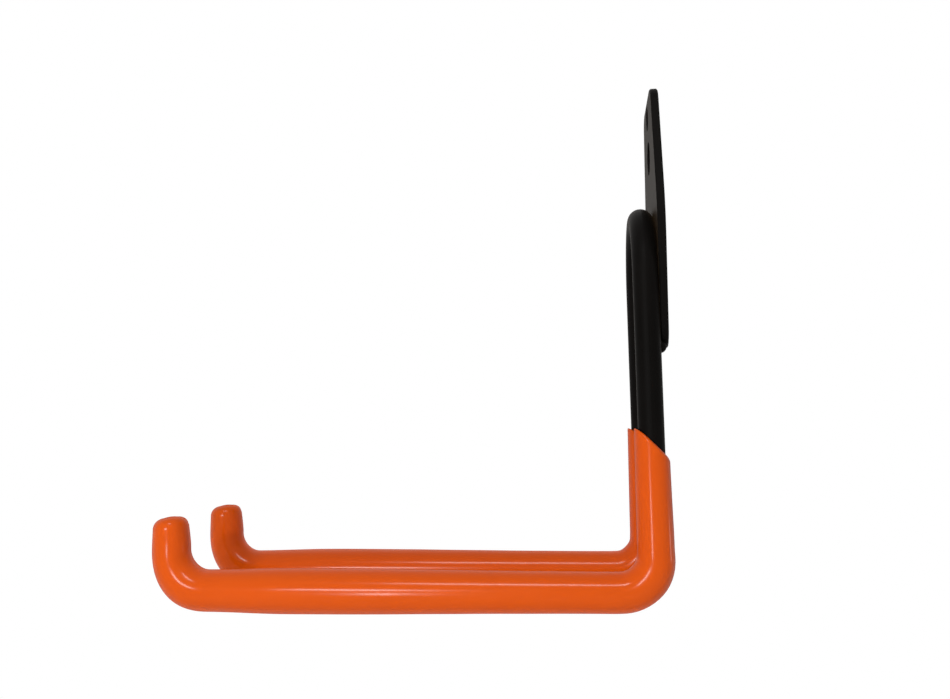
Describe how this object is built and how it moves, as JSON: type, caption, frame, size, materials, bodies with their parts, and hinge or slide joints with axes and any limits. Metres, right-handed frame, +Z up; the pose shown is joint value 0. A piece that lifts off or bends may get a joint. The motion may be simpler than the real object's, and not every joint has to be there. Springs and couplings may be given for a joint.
{
  "type": "garage utility hook",
  "caption": "Wall-mounted garage utility hook: a bent steel rod welded to a screw plate, with up-turned arms dipped in orange PVC.",
  "frame": {"origin": "where the axis of the upper screw hole meets the wall, on the back of the plate", "axes": "+Y into the wall, so the hook stands out towards -Y; +Z up; +X to the right of a person facing the wall; X = 0 is the plane of symmetry"},
  "size_m": [0.0724, 0.2093, 0.2091],
  "materials": {
    "black_powder_coat": "satin",
    "orange_pvc": "gloss"
  },
  "bodies": {
    "root": {"hook_rod": "black_powder_coat", "wall_plate": "black_powder_coat", "weld_beads": "black_powder_coat", "coat_left": "orange_pvc", "coat_right": "orange_pvc"}
  },
  "joints": []
}
